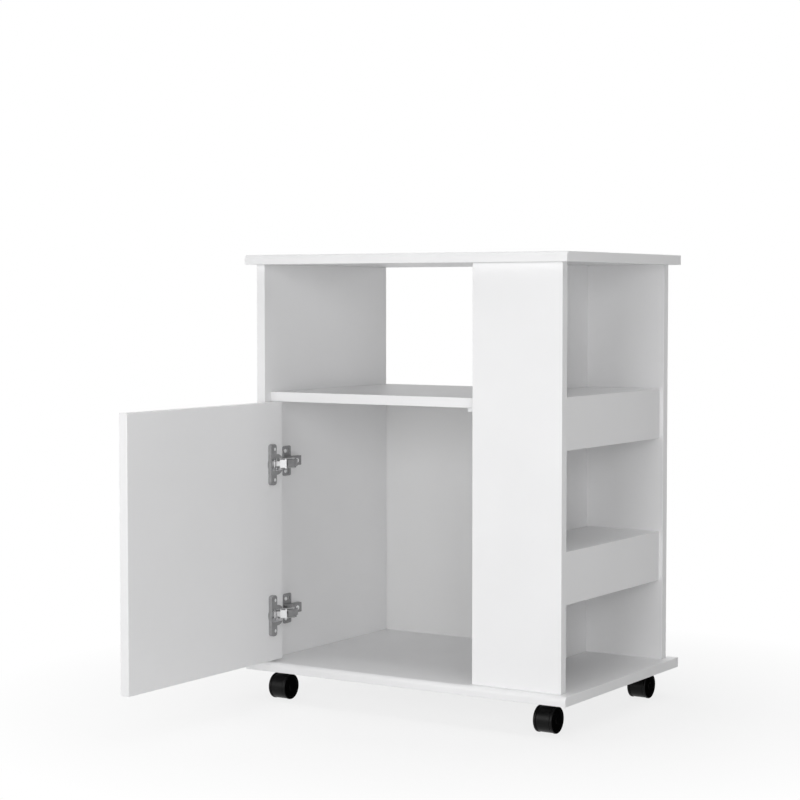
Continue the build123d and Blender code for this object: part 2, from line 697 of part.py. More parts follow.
def main():
    os.makedirs("parts", exist_ok=True)
    dowels, dowel_tools = make_dowels()
    screws, caps, screw_tools = make_joint_screws()
    nails, nail_tools = make_nails()
    tools = dowel_tools + screw_tools + nail_tools

    # Hinges
    hinge_tools, arm_pins, cup_pins = [], [], []
    groups = {"hinge_plate_screws": [], "hinge_arm_screws": [], "hinge_cup_screws": []}
    for name, above in hinge_heights.items():
        z = floor_to_base + above
        write(f"hinge_{name}_mounting_plate", mounting_plate(z))
        write(f"hinge_{name}_arm", hinge_arm(z))
        write(f"hinge_{name}_outer_link", outer_link(z))
        write(f"hinge_{name}_inner_link", inner_link(z))
        write(f"hinge_{name}_cup", cup(z))
        for group, (pieces, cuts) in (("plate", plate_screws(z)), ("cup", cup_screws(z))):
            groups[f"hinge_{group}_screws"] += pieces
            hinge_tools += cuts
        groups["hinge_arm_screws"].append(arm_screw(z))
        arm_pins.append(pin(outer_arm_pin, z, link_half_height + arm_pin_end))
        arm_pins.append(pin(inner_arm_pin, z, nose_half_height))
        cup_pins += cup_pin_pieces(z)
    for name, pieces in groups.items():
        write(name, pieces)
    write("hinge_arm_pins", arm_pins)
    write("hinge_cup_pins", cup_pins)
    write("door_panel", make_door(hinge_tools))
    tools += hinge_tools

    # Casters
    caster_screws = []
    for name, (x, y) in caster_places().items():
        axle_y = y + math.copysign(caster_trail, y)
        plate, pieces, cuts = caster_plate(x, y)
        write(f"caster_{name}_plate", plate)
        write(f"caster_{name}_housing", caster_housing(x, y, axle_y))
        write(f"caster_{name}_axle", caster_axle(x, axle_y))
        for side, sign in (("left", -1), ("right", 1)):
            write(f"caster_{name}_wheel_{side}", caster_wheel(x, axle_y, sign))
        caster_screws += pieces
        tools += cuts
    write("caster_screws", caster_screws)

    # Door stop, with a peg pressed into the shelf
    stop_front = front_panel_back + face_gap
    stop_mid = (bay_left - door_stop_width / 2, stop_front + door_stop_depth / 2, shelf_underside)
    stop = block(
        bay_left - door_stop_width, bay_left - face_gap, stop_front, stop_front + door_stop_depth,
        shelf_underside - door_stop_height, shelf_underside,
    )
    stop = fillet(stop.faces().sort_by(Axis.Z)[0].edges(), door_stop_edge)
    write("door_stop", stop + rod(stop_mid, (0, 0, 1), stop_peg_radius, stop_peg_length))
    peg_hole = stop_peg_length + hole_end_play
    tools.append(rod(stop_mid, (0, 0, 1), stop_peg_radius + fit_clearance, peg_hole))

    # Boards
    boards = {
        "top_panel": full_board(top_underside),
        "base_panel": full_board(floor_to_base),
        "left_side_panel": block(left_outer, left_inner, front_face, side_rear, base_top, top_underside),
        "front_panel": block(bay_left, bay_right, front_face, front_panel_back, base_top, top_underside),
        "rear_panel": block(bay_left, bay_right, rear_panel_front, rear_face, base_top, top_underside),
        "partition_panel": block(
            bay_left, partition_right, front_panel_back, rear_panel_front, base_top, top_underside
        ),
        "main_shelf": block(left_inner, bay_left, shelf_front, side_rear, shelf_underside, shelf_top),
        "back_panel": block(left_outer, bay_left, side_rear, rear_face, base_top, shelf_top),
    }
    for name, above in bay_shelf_heights.items():
        z = floor_to_base + above
        boards[f"bay_shelf_{name}"] = block(
            partition_right, fascia_left, front_panel_back, rear_panel_front, z - board, z
        )
        boards[f"bay_fascia_{name}"] = block(
            fascia_left, fascia_right, front_panel_back, rear_panel_front, z - fascia_height, z
        )
    for name, panel in boards.items():
        write(name, holes(panel, tools))

    # Fasteners
    write("dowels", dowels)
    write("screw_caps", caps)
    write("back_nails", nails)
    for name, pieces in screws.items():
        write(name, pieces)


main()
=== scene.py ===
"""Looks of a white microwave cabinet on casters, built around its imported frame. Metres, +Z up."""

import json
import math

import bmesh
import bpy
from bpy.props import FloatProperty, FloatVectorProperty, PointerProperty
from mathutils import Matrix, Vector


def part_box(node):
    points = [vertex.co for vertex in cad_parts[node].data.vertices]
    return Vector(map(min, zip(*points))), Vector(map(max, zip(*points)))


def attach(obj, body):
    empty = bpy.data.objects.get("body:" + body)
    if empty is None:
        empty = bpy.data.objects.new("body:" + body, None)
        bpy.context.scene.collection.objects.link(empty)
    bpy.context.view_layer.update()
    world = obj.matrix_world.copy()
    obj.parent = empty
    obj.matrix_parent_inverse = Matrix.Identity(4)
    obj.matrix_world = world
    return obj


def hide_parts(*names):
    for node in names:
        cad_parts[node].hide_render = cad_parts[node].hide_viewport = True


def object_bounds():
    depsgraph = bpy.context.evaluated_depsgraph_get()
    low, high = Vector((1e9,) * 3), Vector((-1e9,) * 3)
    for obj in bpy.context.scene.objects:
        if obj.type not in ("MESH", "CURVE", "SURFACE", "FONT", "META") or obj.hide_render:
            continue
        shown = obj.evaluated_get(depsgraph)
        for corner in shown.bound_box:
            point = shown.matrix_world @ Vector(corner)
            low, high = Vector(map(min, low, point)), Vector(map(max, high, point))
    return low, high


bl_info = {
    "name": "Microwave cabinet",
    "version": (1, 0, 0),
    "blender": (4, 5, 0),
    "location": "3D View > Sidebar > Cabinet",
    "description": "Boards, hinges, casters and studio of a white cabinet on casters",
    "category": "Object",
}

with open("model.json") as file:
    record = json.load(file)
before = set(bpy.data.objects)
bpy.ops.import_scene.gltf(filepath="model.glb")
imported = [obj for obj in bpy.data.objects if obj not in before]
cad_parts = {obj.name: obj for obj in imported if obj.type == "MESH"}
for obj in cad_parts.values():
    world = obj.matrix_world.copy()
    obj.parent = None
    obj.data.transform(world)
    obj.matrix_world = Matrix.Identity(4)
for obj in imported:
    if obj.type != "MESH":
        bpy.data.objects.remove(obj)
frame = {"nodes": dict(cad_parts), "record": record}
CAD_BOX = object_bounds()
NODES = frame["nodes"]
RECORD = frame["record"]

X, Y, Z = 0, 1, 2
UP = Vector((0, 0, 1))
WHITE = (1.0, 1.0, 1.0)
HINGES = ("lower", "upper")
HINGE_PARTS = ("mounting_plate", "arm", "cup", "outer_link", "inner_link")
CASTERS = ("front_left", "front_right", "rear_left", "rear_right")
CASTER_PARTS = ("wheel_left", "wheel_right", "housing", "plate")

# The axes that a board's banded edges face
BANDED = {
    "top_panel": (X, Y),
    "base_panel": (X, Y),
    "left_side_panel": (Y,),
    "front_panel": (X,),
    "rear_panel": (X,),
    "partition_panel": (),
    "main_shelf": (Y,),
    "bay_shelf_lower": (),
    "bay_shelf_upper": (),
    "bay_fascia_lower": (Z,),
    "bay_fascia_upper": (Z,),
    "door_panel": (Y, Z),
}
# The boards whose front edge is rolled
ROLLED = ("top_panel", "base_panel")
# A board's material slots; the last, on the broken edges, carries a painted highlight
LAMINATE, BAND, SEAM_HIGHLIGHT = 0, 1, 2

# How squarely a face looks along an axis: straight, and more that way than any other
STRAIGHT, MOSTLY = 0.9, 0.5
# Angles in degrees past which an edge counts as sharp
CREASE, HEAD_CREASE, FLAT = 40.0, 35.0, 1.0
# Corners nearer than the first are one corner, and nearer than the others lie in one plane
SAME_CORNER, SAME_PLANE, SAME_END = 0.000002, 0.00001, 0.0001
# Sides of round shapes, and steps across rounded edges
HEAD_SIDES, BORE_SIDES = 48, 96
ROLL_STEPS, EDGE_STEPS, STAMPED_STEPS, HEAD_STEPS = 14, 3, 2, 6
# Decimals to which corners are rounded when solids are told apart
DECIMALS = 6

# Depth of the finishes' fine grain, if no other is given
GRAIN_DEPTH = 0.00003

# The back: width and depth of the step along its rear edges, and their radius
BACK_STEP, BACK_STEP_DEPTH, BACK_RADIUS = 0.0008, 0.0001, 0.0002
DOOR_STOP_RADIUS = 0.0003
# Play between a hinge's cup and its bore
BORE_PLAY = 0.00005
# How far under the door's face a cup's corner lies to belong to its bowl
UNDER_FLANGE = 0.001
# How far the faces of a bowl look towards its middle, at least
BOWL_INWARDS = 0.002
# How far the faces of a cover reach past its corners
COVER_MARGIN = 0.0004
# Where a mounting plate's slots start and end before its rear edge, how far they stay from its
# ends, the share of its height that they stay from its middle, and how far their rims may face out
SLOT_FRONT, SLOT_REAR, SLOT_END, SLOT_REACH, RIM_FACING = 0.0095, 0.0035, 0.002, 0.2, 0.8

# A fastener's head: the share of its radius where its rim starts, and of its height that is round
RIM_SHARE, HEAD_ROUNDING = 0.97, 0.45
# A fastener's tip: its length in shank radii, and how far it and a recess's floor narrow
TIP_LENGTH, TIP_SHARE, RECESS_SHARE = 1.5, 0.2, 0.55
# A cap's dome: insets in cap radii, and lifts in shares of its rise
DOME = ((0.1, 0.55), (0.2, 0.3), (0.3, 0.15))

FLOOR_SIZE = 12.0
# The floor turns white between these distances from the cabinet's middle
FLOOR_FADE = (0.35, 0.8)
# The lamps' turns from straight in front towards the right, and their rises, in degrees
LAMPS = {
    "left": (-25, 8),
    "front": (5, 8),
    "right": (40, 8),
    "high": (75, 60),
    "rear": (180, 8),
    "far": (-90, 12),
    "top": (0, 90),
}
# The camera: place, turn and tilt in degrees, and sensor in millimetres
CAMERA_PLACE = (1.6330, -2.7525, 0.6377)
CAMERA_TURN, CAMERA_TILT, SENSOR = 32.464, 87.071, 36.0


def size(name, default, note):
    """A length that a user can change."""
    return FloatProperty(name=name, description=note, default=default, unit="LENGTH", precision=5)


def sizes(name, default, note):
    """Three lengths that a user can change."""
    return FloatVectorProperty(
        name=name, description=note, default=default, subtype="XYZ_LENGTH", unit="LENGTH", size=3,
        precision=5,
    )


def number(name, default, note, **limits):
    """A plain number that a user can change."""
    return FloatProperty(name=name, description=note, default=default, precision=4, **limits)


def colour(name, default, note):
    """A linear colour that a user can change."""
    return FloatVectorProperty(
        name=name, description=note, default=default, subtype="COLOR", size=3, min=0.0, max=1.0
    )


class BoardLooks(bpy.types.PropertyGroup):
    laminate: colour("Laminate", (0.86, 0.86, 0.865), "Colour of the white laminate")
    band: colour("Edge band", (0.88, 0.88, 0.885), "Colour of the strip on the boards' edges")
    # The seam's colour, brighter than laminate and band, is a painted highlight on all the broken
    # edges
    seam: colour("Band seam", (0.93, 0.93, 0.935), "Colour of the line between band and laminate")
    hardboard: colour("Back", (0.80, 0.80, 0.80), "Colour of the painted hardboard back")
    edge_radius: size("Edge radius", 0.0006, "How far the boards' edges are broken")
    rolled_radius: size("Rolled edge radius", 0.007, "Radius of the front edge of top and base")
    pebble: number("Pebble", 0.12, "Strength of the laminate's fine pebbled grain")


class HingeLooks(bpy.types.PropertyGroup):
    dark_metal: colour("Dark nickel", (0.34, 0.34, 0.345), "Colour of plates, arms and cups")
    satin_metal: colour("Satin nickel", (0.55, 0.55, 0.555), "Colour of the links and the pins")
    # The covers' colour, brighter than the links' satin nickel, is a painted highlight, on metal
    # that also mirrors the room
    cover_highlight: colour("Bright nickel", (0.62, 0.62, 0.625), "Colour of the links' covers")
    # Zinc is also painted in the cups' bowls, brighter than the cup, as painted light that lifts
    # the bowls' shade, and on the plates' slot rims as a painted highlight
    zinc: colour(
        "Zinc", (0.93, 0.93, 0.94), "Colour of screws, nails, slots' rims and cups' bowls"
    )
    sheen: number("Metal share", 0.5, "How far the plated pieces mirror the room", min=0, max=1)
    link_arm_half: size("Link arm", 0.0045, "Half the height of an inner link beside its cover")
    plate_sheet: size("Plate sheet", 0.0021, "Thickness of the mounting plates")
    stamped_radius: size("Stamped radius", 0.0003, "Radius of the stamped pieces' edges")
    small_recess: sizes(
        "Small recess", (0.0034, 0.0008, 0.0009), "Span, slot and depth in small screws"
    )
    arm_recess: sizes(
        "Arm recess", (0.0044, 0.0010, 0.0008), "Span, slot and depth in the arm screws"
    )


class CasterLooks(bpy.types.PropertyGroup):
    plastic: colour("Black plastic", (0.0028, 0.0028, 0.0029), "Colour of wheels and housings")
    edge_radius: size("Edge radius", 0.0004, "Radius of the moulded edges")


class TrimLooks(bpy.types.PropertyGroup):
    plastic: colour("White plastic", (0.84, 0.84, 0.85), "Colour of the door stop and the caps")
    beech: colour("Beech", (0.60, 0.40, 0.22), "Colour of the dowels")
    cap_rise: size("Cap rise", 0.0004, "How far a cap's domed top stands over the board")


class Studio(bpy.types.PropertyGroup):
    floor: colour("Floor", (0.72, 0.72, 0.72), "Colour of the floor near the cabinet")
    shadow_share: number(
        "Shadow share", 0.2, "How much of the floor's own shading shows", min=0, max=1
    )
    left_power: number("Left lamp", 13.5, "Watts of the soft lamp at the front left")
    front_power: number("Front lamp", 21.5, "Watts of the soft lamp in front")
    right_power: number("Right lamp", 24.0, "Watts of the soft lamp at the front right")
    high_power: number("High lamp", 16.0, "Watts of the soft lamp high at the right")
    rear_power: number("Rear lamp", 21.0, "Watts of the soft lamp behind")
    far_power: number("Far lamp", 24.0, "Watts of the soft lamp at the left side")
    top_power: number("Top lamp", 26.0, "Watts of the soft lamp above")
    lamp_distance: size("Lamp distance", 3.0, "Distance of the lamps from the cabinet's middle")
    lamp_width: size("Lamp width", 1.4, "Width and height of the square lamps")
    room_light: number("Room light", 0.075, "Strength of the even light from all round")
    lens: number("Lens", 91.31, "Focal length of the camera, in millimetres")


def settings(name):
    """One group of the scene's settings."""
    return getattr(bpy.context.scene, "cabinet_" + name)


# Shader maths written as Python sums
class Socket:
    """A node's output, which stands for its value in a sum."""

    def __init__(self, nodes, out):
        self.nodes, self.out = nodes, out

    def __add__(self, other):
        return self.nodes.maths("ADD", self, other)

    def __sub__(self, other):
        return self.nodes.maths("SUBTRACT", self, other)

    def __rsub__(self, other):
        return self.nodes.maths("SUBTRACT", other, self)

    def __mul__(self, other):
        return self.nodes.maths("MULTIPLY", self, other)

    __radd__, __rmul__ = __add__, __mul__

    def between(self, low, high):
        """0 at low, 1 at high, and clamped outside them."""
        ends = {"Value": self, "From Min": low, "From Max": high}
        return self.nodes.node("ShaderNodeMapRange", "Result", ends)


class Nodes:
    """A node tree that is filled node by node."""

    def __init__(self, tree):
        self.tree = tree

    def feed(self, slot, value):
        """Links a socket to a slot, or sets the slot to a plain value."""
        if isinstance(value, Socket):
            self.tree.links.new(value.out, slot)
        elif slot.type == "RGBA" and len(value) == 3:
            slot.default_value = (*value, 1.0)
        else:
            slot.default_value = value

    def node(self, kind, out, values=None, **options):
        """A node's output: its options are set first, then its inputs by their identifiers."""
        node = self.tree.nodes.new(kind)
        for key, value in options.items():
            setattr(node, key, value)
        slots = {slot.identifier: slot for slot in node.inputs}
        for key, value in (values or {}).items():
            self.feed(slots[key], value)
        return Socket(self, next(end for end in node.outputs if end.identifier == out))

    def maths(self, operation, first, second):
        """A sum, difference, product or the like of two values."""
        ends = {"Value": first, "Value_001": second}
        return self.node("ShaderNodeMath", "Value", ends, operation=operation)

    def seen(self):
        """1 on rays from the camera, off gloss or through glass, and 0 on all others."""
        camera, gloss, glass = (
            self.node("ShaderNodeLightPath", f"Is {ray} Ray")
            for ray in ("Camera", "Glossy", "Transmission")
        )
        return self.maths("MAXIMUM", camera, self.maths("MAXIMUM", gloss, glass))


class Paint(Nodes):
    """A procedural material."""

    def __init__(self, name, metallic=0.0, specular=0.5):
        self.material = bpy.data.materials.new(name)
        self.material.use_nodes = True
        super().__init__(self.material.node_tree)
        self.shader = self.tree.nodes["Principled BSDF"]
        self.shader.inputs["Metallic"].default_value = metallic
        self.shader.inputs["Specular IOR Level"].default_value = specular
        self.place = self.node("ShaderNodeTexCoord", "Object")

    def stretched(self, x, y, z):
        """Object coordinates scaled on each axis, for grain with a direction."""
        ends = {"Vector": self.place, "Scale": (x, y, z)}
        return self.node("ShaderNodeMapping", "Vector", ends, vector_type="POINT")

    def noise(self, scale, detail=2.0, place=None):
        """Soft noise about 0.5, finer with a larger scale."""
        ends = {"Vector": place or self.place, "Scale": scale, "Detail": detail}
        return self.node("ShaderNodeTexNoise", "Fac", ends)

    def threads(self, direction):
        """Slightly uneven bands across one axis."""
        ends = {"Vector": self.place, "Scale": 180.0, "Distortion": 1.0, "Detail": 1.0}
        return self.node("ShaderNodeTexWave", "Fac", ends, wave_type="BANDS",
                         bands_direction=direction)

    def mix(self, share, first, second):
        """The first colour at share 0, and the second at 1."""
        ends = {"Factor_Float": share, "A_Color": first, "B_Color": second}
        return self.node("ShaderNodeMix", "Result_Color", ends, data_type="RGBA")

    def varied(self, tone, share, low, high):
        """A colour whose brightness goes from low times to high times its own with the share."""
        return self.mix(share, shade(tone, low), shade(tone, high))

    def bump(self, height, strength, distance=GRAIN_DEPTH):
        """A normal that follows a height."""
        ends = {"Height": height, "Strength": strength, "Distance": distance}
        return self.node("ShaderNodeBump", "Normal", ends)

    def coat(self, base, roughness, normal=None):
        """Feeds the shader, and gives back the material."""
        self.feed(self.shader.inputs["Base Color"], base)
        self.feed(self.shader.inputs["Roughness"], roughness)
        if normal:
            self.feed(self.shader.inputs["Normal"], normal)
        return self.material


def shade(rgb, factor):
    """A colour made brighter or darker, and never over white."""
    return tuple(min(1.0, c * factor) for c in rgb)


def laminate(name):
    """White melamine: an even tone with faint clouds and a fine pebbled grain."""
    looks = settings("boards")
    paint = Paint(name)
    clouds = paint.noise(scale=7.0, detail=3.0).between(0.35, 0.65)
    pebble = paint.noise(scale=1100.0)
    base = paint.varied(looks.laminate, clouds, 0.99, 1.01)
    return paint.coat(base, pebble * 0.12 + 0.36, paint.bump(pebble, looks.pebble))


def edge_band(name):
    """Glued plastic strip: smoother than the laminate, with faint lines along the boards."""
    paint = Paint(name)
    lines = paint.noise(scale=60.0, detail=4.0, place=paint.stretched(1.0, 1.0, 12.0))
    base = paint.varied(settings("boards").band, lines.between(0.4, 0.6), 0.985, 1.01)
    return paint.coat(base, lines * 0.1 + 0.28, paint.bump(lines, strength=0.05))


def painted_seam_highlight(name):
    """Broken edges in a colour brighter than the laminate, a painted highlight: slightly rough,
    with a few darker nicks.
    """
    paint = Paint(name)
    nicks = paint.noise(scale=400.0)
    base = paint.varied(settings("boards").seam, nicks.between(0.45, 0.62), 1.0, 0.9)
    return paint.coat(base, nicks * 0.1 + 0.45)


def painted_face(name):
    """The back's smooth painted face, which shows inside the compartment."""
    paint = Paint(name)
    orange_peel = paint.noise(scale=350.0, detail=3.0)
    clouds = paint.noise(scale=5.0).between(0.35, 0.65)
    base = paint.varied(settings("boards").hardboard, clouds, 0.993, 1.007)
    bumps = paint.bump(orange_peel, strength=0.08, distance=0.00004)
    return paint.coat(base, orange_peel * 0.1 + 0.42, bumps)


def screen_face(name):
    """The back's rear face: hardboard with the weave of the screen that it was pressed on."""
    paint = Paint(name)
    grain = paint.noise(scale=90.0, detail=4.0)
    base = paint.varied(settings("boards").hardboard, grain.between(0.35, 0.65), 0.98, 1.02)
    relief = paint.threads("X") * paint.threads("Z") + grain * 0.5
    bumps = paint.bump(relief, strength=0.12, distance=0.0001)
    return paint.coat(base, grain * 0.15 + 0.5, bumps)


# Each plating's colour setting, least roughness, and depth of its streaks and its mottle
PLATINGS = {
    "Dark nickel": ("dark_metal", 0.38, 0.10, 0.09),
    "Satin nickel": ("satin_metal", 0.34, 0.08, 0.06),
    "Bright nickel": ("cover_highlight", 0.42, 0.06, 0.03),
    "Zinc": ("zinc", 0.28, 0.08, 0.05),
}


def plated(name):
    """Plated steel: fine streaks from the strip it was stamped from, and a mottled plating."""
    looks = settings("hinges")
    tone, rough, streak, speckle = PLATINGS[name]
    paint = Paint(name, metallic=looks.sheen)
    streaks = paint.noise(scale=500.0, detail=3.0, place=paint.stretched(1.0, 1.0, 0.08))
    mottle = paint.noise(scale=220.0, detail=3.0).between(0.3, 0.7)
    base = paint.varied(getattr(looks, tone), mottle, 1.0 - speckle, 1.0 + speckle)
    roughness = streaks * streak + mottle * 0.05 + rough
    return paint.coat(base, roughness, paint.bump(streaks, strength=0.04))


def black_plastic(name):
    """Moulded black plastic: satin, with a trace of scuffing and a very fine grain."""
    paint = Paint(name, specular=0.14)
    grain = paint.noise(scale=1500.0)
    streaks = paint.noise(scale=160.0, detail=4.0, place=paint.stretched(0.3, 1.0, 1.0))
    scuffs = streaks.between(0.58, 0.75)
    base = paint.varied(settings("casters").plastic, scuffs, 1.0, 2.2)
    roughness = scuffs * 0.12 + grain * 0.06 + 0.3
    return paint.coat(base, roughness, paint.bump(grain, strength=0.08))


def matte_plastic(name):
    """Spark-eroded black plastic on the wheels' flat sides: no gloss, and a fine even grain."""
    paint = Paint(name, specular=0.0)
    grain = paint.noise(scale=1100.0, detail=3.0)
    base = paint.varied(settings("casters").plastic, grain.between(0.4, 0.6), 0.8, 1.2)
    bumps = paint.bump(grain, strength=0.15, distance=0.00004)
    return paint.coat(base, grain * 0.1 + 0.85, bumps)


def white_plastic(name):
    """Moulded white plastic: satin, with a very fine grain."""
    paint = Paint(name)
    grain = paint.noise(scale=1300.0)
    clouds = paint.noise(scale=60.0).between(0.4, 0.6)
    base = paint.varied(settings("trim").plastic, clouds, 0.99, 1.0)
    return paint.coat(base, grain * 0.08 + 0.4, paint.bump(grain, strength=0.06))


def beech(name):
    """Turned beech: short dark flecks on a pale ground."""
    looks = settings("trim")
    paint = Paint(name)
    fibres = paint.noise(scale=900.0, detail=4.0, place=paint.stretched(1.0, 1.0, 0.2))
    flecks = fibres.between(0.5, 0.75)
    ground = paint.varied(looks.beech, paint.noise(scale=120.0), 1.15, 0.9)
    base = paint.mix(flecks, ground, shade(looks.beech, 0.6))
    bumps = paint.bump(flecks, strength=0.2, distance=0.00005)
    return paint.coat(base, flecks * 0.1 + 0.6, bumps)


def pale_floor(name):
    """Pale floor that turns white away from the cabinet and keeps its shadow."""
    studio = settings("studio")
    paint = Paint(name, specular=0.1)
    grain = paint.noise(scale=40.0, detail=3.0)
    paint.coat(paint.varied(studio.floor, grain, 0.995, 1.0), 0.9)
    away = paint.node("ShaderNodeVectorMath", "Value", {"Vector": paint.place}, operation="LENGTH")
    share = paint.seen() * (1 - (1 - away.between(*FLOOR_FADE)) * studio.shadow_share)
    own = Socket(paint, paint.shader.outputs["BSDF"])
    white = paint.node("ShaderNodeEmission", "Emission", {"Color": WHITE, "Strength": 1.0})
    ends = {"Fac": share, "Shader": own, "Shader_001": white}
    blend = paint.node("ShaderNodeMixShader", "Shader", ends)
    paint.feed(paint.tree.nodes["Material Output"].inputs["Surface"], blend)
    return paint.material


FINISHES = {
    "Laminate": laminate,
    "Edge band": edge_band,
    "Band seam": painted_seam_highlight,
    "Painted face": painted_face,
    "Screen face": screen_face,
    **dict.fromkeys(PLATINGS, plated),
    "Black plastic": black_plastic,
    "Matte plastic": matte_plastic,
    "White plastic": white_plastic,
    "Beech": beech,
    "Pale floor": pale_floor,
}
# The finish of each material slot in the record
SLOT_FINISHES = {
    "white_board": "Laminate",
    "white_plastic": "White plastic",
    "dowel_wood": "Beech",
    "zinc_screw": "Zinc",
    "bright_steel": "Satin nickel",
    "hinge_metal": "Dark nickel",
    "caster_plastic": "Black plastic",
}


def finish(name):
    """The named material, made the first time that it is asked for."""
    return bpy.data.materials.get(name) or FINISHES[name](name)


def slot_of(node):
    """The record's material slot of a CAD node."""
    return next(row["material_slot"] for row in RECORD["subparts"] if row["node"] == node)


def finish_of(node):
    """The material that a CAD node's slot asks for."""
    return finish(SLOT_FINISHES[slot_of(node)])


def body_of(node):
    """The body that a CAD node moves with."""
    bodies = RECORD["behaviour"]["bodies"]
    return next(body for body, members in bodies.items() if node in members)


# Modelling steps
def only(piece):
    """Selects one piece and nothing else."""
    bpy.ops.object.select_all(action="DESELECT")
    piece.select_set(True)
    bpy.context.view_layer.objects.active = piece


def new_piece(name, add, **values):
    """A primitive at its place, with its place in its mesh."""
    bpy.ops.object.select_all(action="DESELECT")
    add(**values)
    piece = bpy.context.object
    piece.name = piece.data.name = name
    bpy.ops.object.transform_apply(location=True, rotation=True, scale=True)
    return piece


def new_block(name, low, high):
    """A block between two corners."""
    return new_piece(name, bpy.ops.mesh.primitive_cube_add, size=1.0, location=(low + high) / 2,
                     scale=high - low)


def new_round(name, sides, radius, depth, place, **values):
    """A cylinder."""
    return new_piece(name, bpy.ops.mesh.primitive_cylinder_add, vertices=sides, radius=radius,
                     depth=depth, location=place, **values)


def new_copy(name, mesh):
    """An object with its own copy of a mesh."""
    piece = bpy.data.objects.new(name, mesh.copy())
    bpy.context.scene.collection.objects.link(piece)
    return piece


class Editing:
    """Edit mode on one piece, with nothing selected at the start."""

    def __init__(self, piece, kind="FACE"):
        self.piece, self.kind = piece, kind

    def __enter__(self):
        only(self.piece)
        bpy.ops.object.mode_set(mode="EDIT")
        bpy.ops.mesh.select_mode(type=self.kind)
        bpy.ops.mesh.select_all(action="DESELECT")
        return self

    def __exit__(self, *unused):
        bpy.ops.object.mode_set(mode="OBJECT")

    def pick(self, test):
        """Selects the faces or edges that pass a test, and nothing else."""
        bpy.ops.mesh.select_all(action="DESELECT")
        mesh = bmesh.from_edit_mesh(self.piece.data)
        for item in mesh.faces if self.kind == "FACE" else mesh.edges:
            if test(item):
                item.select_set(True)
        bmesh.update_edit_mesh(self.piece.data)


def facing(axis, way=1):
    """A test for the faces that look straight along an axis."""
    return lambda face: face.normal[axis] * way > STRAIGHT


def across(face, axis):
    """Whether a face looks straight along an axis, either way."""
    return abs(face.normal[axis]) > STRAIGHT


def corners(points):
    """The low and the high corner of the box around some points."""
    return Vector(map(min, zip(*points))), Vector(map(max, zip(*points)))


def applied(piece, kind, **values):
    """A modifier, applied at once."""
    only(piece)
    modifier = piece.modifiers.new(kind.title(), kind)
    for key, value in values.items():
        setattr(modifier, key, value)
    bpy.ops.object.modifier_apply(modifier=modifier.name)


def bevelled(piece, width, segments=STAMPED_STEPS, material=-1):
    """Rounds a piece's sharp edges."""
    applied(piece, "BEVEL", width=width, segments=segments, limit_method="ANGLE",
            angle_limit=math.radians(CREASE), material=material, use_clamp_overlap=True)


def cut(piece, tool):
    """Takes a tool's shape out of a piece, and removes the tool."""
    applied(piece, "BOOLEAN", operation="DIFFERENCE", solver="EXACT", object=tool)
    bpy.data.objects.remove(tool)


def smoothed(piece, angle=CREASE):
    """Shades a piece smooth but for its sharp edges, with its flat faces left flat."""
    only(piece)
    bpy.ops.object.shade_smooth_by_angle(angle=math.radians(angle))
    applied(piece, "WEIGHTED_NORMAL", keep_sharp=True, mode="FACE_AREA", weight=100)


def dressed(piece, node, *materials):
    """Gives a finished piece its materials and body in place of a CAD node."""
    piece.data.materials.clear()
    for material in materials or (finish_of(node),):
        piece.data.materials.append(material)
    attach(piece, body_of(node))
    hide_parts(node)
    slot_of(node)


def repainted(piece, name, test):
    """Gives the faces that pass a test a second finish."""
    piece.data.materials.append(finish(name))
    for face in piece.data.polygons:
        if test(face):
            face.material_index = 1


def softened(node, width):
    """A copy of a CAD node as one welded mesh with its stamped or moulded edges rounded."""
    piece = new_copy(node + "_piece", NODES[node].data)
    with Editing(piece):
        bpy.ops.mesh.select_all(action="SELECT")
        bpy.ops.mesh.remove_doubles(threshold=SAME_CORNER)
        bpy.ops.mesh.dissolve_limited(angle_limit=math.radians(FLAT))
    bevelled(piece, width)
    smoothed(piece)
    return piece


def solids_of(node):
    """The corner points of each separate solid of a CAD node."""
    leader = {}

    def lead(key):
        while leader[key] != key:
            key = leader[key]
        return key

    mesh = NODES[node].data
    places = [tuple(round(c, DECIMALS) for c in vertex.co) for vertex in mesh.vertices]
    for place in places:
        leader[place] = place
    for face in mesh.polygons:
        first = lead(places[face.vertices[0]])
        for index in face.vertices[1:]:
            leader[lead(places[index])] = first
    groups = {}
    for place in leader:
        groups.setdefault(lead(place), []).append(Vector(place))
    return [groups[key] for key in sorted(groups)]


class Turned:
    """What a round fastener measures: its place, the way that its head faces, and its radii."""

    def __init__(self, points, axis):
        low, high = corners(points)
        middle = (low + high) / 2
        others = [a for a in (X, Y, Z) if a != axis]

        def radius(point):
            return math.hypot(*(point[a] - middle[a] for a in others))

        self.axis = axis
        self.radius = max(map(radius, points))
        wide = [p[axis] for p in points if radius(p) > RIM_SHARE * self.radius]
        self.length = high[axis] - low[axis]
        outward = 1 if high[axis] - max(wide) < min(wide) - low[axis] else -1
        self.height = max(wide) - min(wide)
        end = low[axis] if outward > 0 else high[axis]
        self.shank = max(radius(p) for p in points if abs(p[axis] - end) < SAME_END)
        self.top = middle.copy()
        self.top[axis] = high[axis] if outward > 0 else low[axis]
        self.way = Vector((0, 0, 0))
        self.way[axis] = outward

    def turn_to(self, outward):
        """Takes the end that faces a given way along the axis as the top."""
        if self.way[self.axis] != outward:
            self.top[self.axis] += outward * self.length
            self.way[self.axis] = outward


def turned_solids(node, side):
    """What the round solids of a CAD node measure; side is max for pins and min for discs."""
    found = []
    for points in solids_of(node):
        low, high = corners(points)
        extent = list(high - low)
        found.append(Turned(points, extent.index(side(extent))))
    return found


